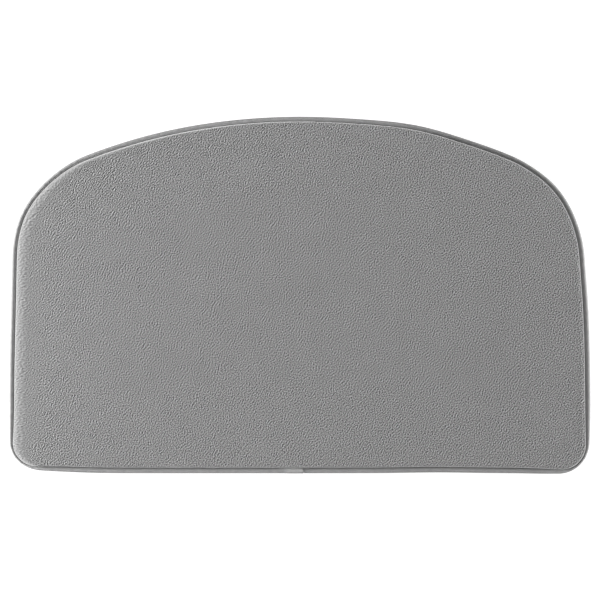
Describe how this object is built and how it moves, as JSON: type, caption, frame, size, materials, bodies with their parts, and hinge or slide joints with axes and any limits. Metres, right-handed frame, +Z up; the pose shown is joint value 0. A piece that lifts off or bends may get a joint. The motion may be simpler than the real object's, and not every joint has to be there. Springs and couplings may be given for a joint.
{
  "type": "bath mat",
  "caption": "Half-moon bath mat with a plush face over memory foam, a non-slip backing and a stitched bound edge.",
  "frame": {"origin": "on the floor, in the middle of the mat's bounding box", "axes": "+X along the mat's width, +Y from the straight front edge to the curved back edge, +Z up"},
  "size_m": [0.8, 0.491, 0.0156],
  "materials": {
    "grip": "satin",
    "backing": "matte",
    "foam": "matte",
    "plush": "matte",
    "tape": "matte",
    "thread": "satin"
  },
  "bodies": {
    "root": {"grip_layer": "grip", "base_cloth": "backing", "foam_core": "foam", "face_fabric": "plush", "binding_tape": "tape", "needle_thread": "thread", "bobbin_thread": "thread"}
  },
  "joints": []
}
